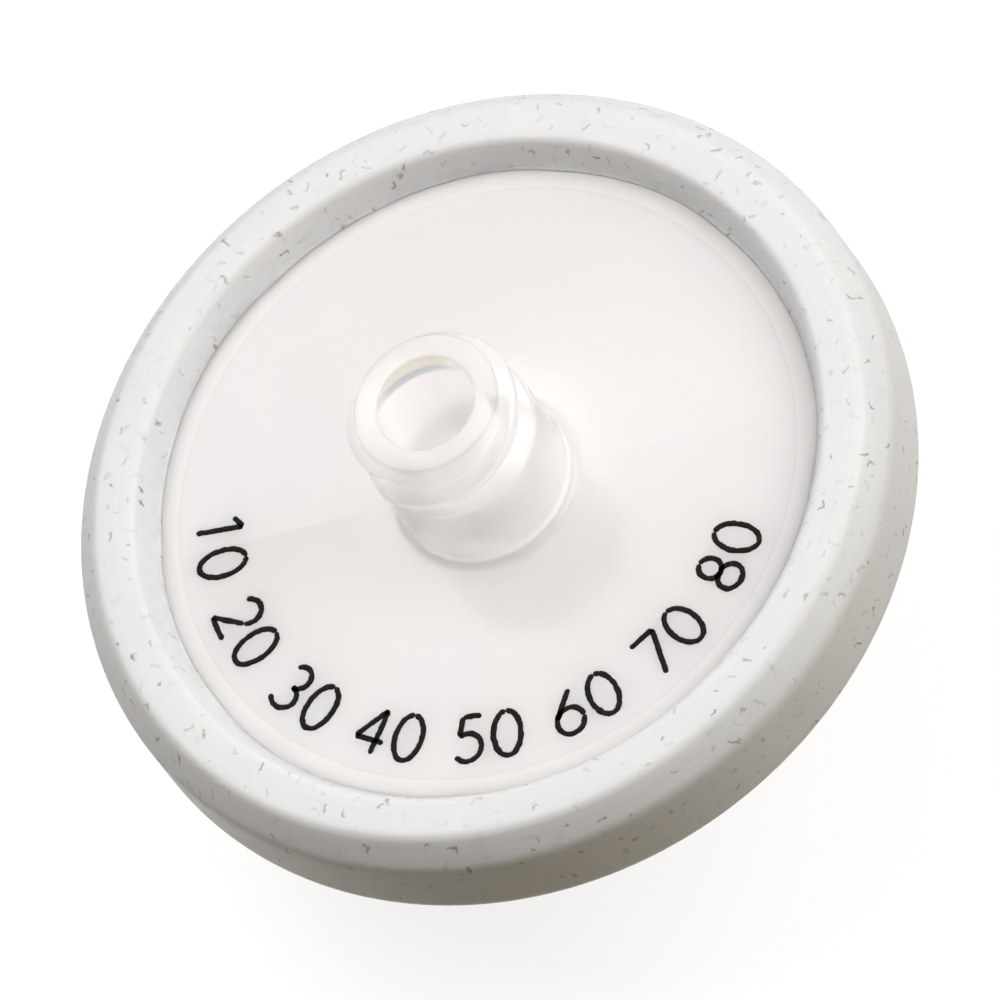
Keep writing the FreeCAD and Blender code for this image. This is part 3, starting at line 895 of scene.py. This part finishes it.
def make_floor():
    """A wide flat sheet under the outlet's tip."""
    half = FLOOR_SIZE / 2
    corners = np.array([(-half, -half, TIP), (half, -half, TIP),
                        (half, half, TIP), (-half, half, TIP)]) * MM
    floor = surface_object("floor", corners, np.array([[0, 1, 2, 3]]))
    floor.data.materials.append(floor_paint())


def towards(azimuth, elevation):
    """The unit direction at an azimuth about +Z and an elevation above the horizon, in degrees."""
    turn, rise = math.radians(azimuth), math.radians(elevation)
    return Vector((math.cos(turn) * math.cos(rise), math.sin(turn) * math.cos(rise), math.sin(rise)))


# Soft lamps: name, azimuth, elevation, width and distance in mm, power in watts, colour.
LAMPS = [
    ("side", 345, 35, 260, 420, 0.91, (0.95, 0.97, 1.0)),
    ("back", 115, 65, 300, 420, 0.88, (1.0, 0.985, 0.965)),
    ("top", 60, 65, 400, 420, 0.34, (0.95, 0.98, 1.0)),
    ("right", 315, 35, 200, 420, 0.32, (1.0, 0.9, 0.75)),
]


def make_lamps():
    """Square soft lamps, all facing the middle of the filter."""
    middle = Vector((0, 0, RING_MIDDLE * MM))
    for name, azimuth, elevation, width, distance, power, colour in LAMPS:
        light = bpy.data.lights.new(name, "AREA")
        light.shape = "SQUARE"
        light.size = width * MM
        light.energy = power
        light.color = colour
        lamp = bpy.data.objects.new(name, light)
        away = towards(azimuth, elevation)
        lamp.location = middle + away * distance * MM
        lamp.rotation_euler = away.to_track_quat("Z", "Y").to_euler()
        lamp.visible_camera = False
        bpy.context.scene.collection.objects.link(lamp)


def make_world():
    """Plain surroundings: white to the camera, dim and warm as light."""
    world = bpy.data.worlds.new("surroundings")
    bpy.context.scene.world = world
    world.use_nodes = True
    tree = world.node_tree
    dim = next(node for node in tree.nodes if node.type == "BACKGROUND")
    dim.inputs["Color"].default_value = (1.0, 0.82, 0.55, 1)
    dim.inputs["Strength"].default_value = 0.035
    bright = tree.nodes.new("ShaderNodeBackground")
    bright.inputs["Color"].default_value = (1, 1, 1, 1)
    bright.inputs["Strength"].default_value = 1.0
    blend = tree.nodes.new("ShaderNodeMixShader")
    feed(tree, blend.inputs[0], seen_directly(tree))
    feed(tree, blend.inputs[1], dim.outputs[0])
    feed(tree, blend.inputs[2], bright.outputs[0])
    out = next(node for node in tree.nodes if node.type == "OUTPUT_WORLD")
    feed(tree, out.inputs["Surface"], blend.outputs[0])


# Camera: angles in degrees, lengths in mm. The aim is measured from the middle of the ring's top.
CAMERA_ELEVATION = 57.55
CAMERA_ROLL = 37.7
CAMERA_DISTANCE = 1700.0
FIELD_WIDTH = 41.15
AIM_ACROSS = -0.007
AIM_ALONG = -1.664
SENSOR = 36.0


def make_camera():
    """A long lens on the -Y side, turned about its own axis so that the filter leans."""
    rise = math.radians(CAMERA_ELEVATION)
    roll = math.radians(CAMERA_ROLL)
    back = Vector((0, -math.cos(rise), math.sin(rise)))
    level_right = Vector((1, 0, 0))
    level_up = Vector((0, math.sin(rise), math.cos(rise)))
    right = level_right * math.cos(roll) - level_up * math.sin(roll)
    up = level_right * math.sin(roll) + level_up * math.cos(roll)
    aim = Vector((0, 0, RING_TOP)) + level_right * AIM_ACROSS + level_up * AIM_ALONG
    data = bpy.data.cameras.new("camera")
    data.sensor_width = SENSOR
    data.lens = SENSOR * CAMERA_DISTANCE / FIELD_WIDTH
    data.clip_start = 0.01
    data.clip_end = 10.0
    camera = bpy.data.objects.new("camera", data)
    turned = Matrix((right, up, back)).transposed().to_4x4()
    camera.matrix_world = Matrix.Translation((aim + back * CAMERA_DISTANCE) * MM) @ turned
    bpy.context.scene.collection.objects.link(camera)
    bpy.context.scene.camera = camera


def main():
    """Build everything in the frame's place."""
    housing = milky_plastic()
    make_ring(ring_plastic(fibre_group()))
    make_inlet(housing, clearer_plastic())
    make_outlet(housing)
    make_print(printing_ink())
    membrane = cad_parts["membrane"]
    membrane.data.materials.clear()
    membrane.data.materials.append(filter_paper())
    make_floor()
    make_lamps()
    make_world()
    make_camera()
    bpy.context.scene.view_settings.view_transform = "Standard"


main()
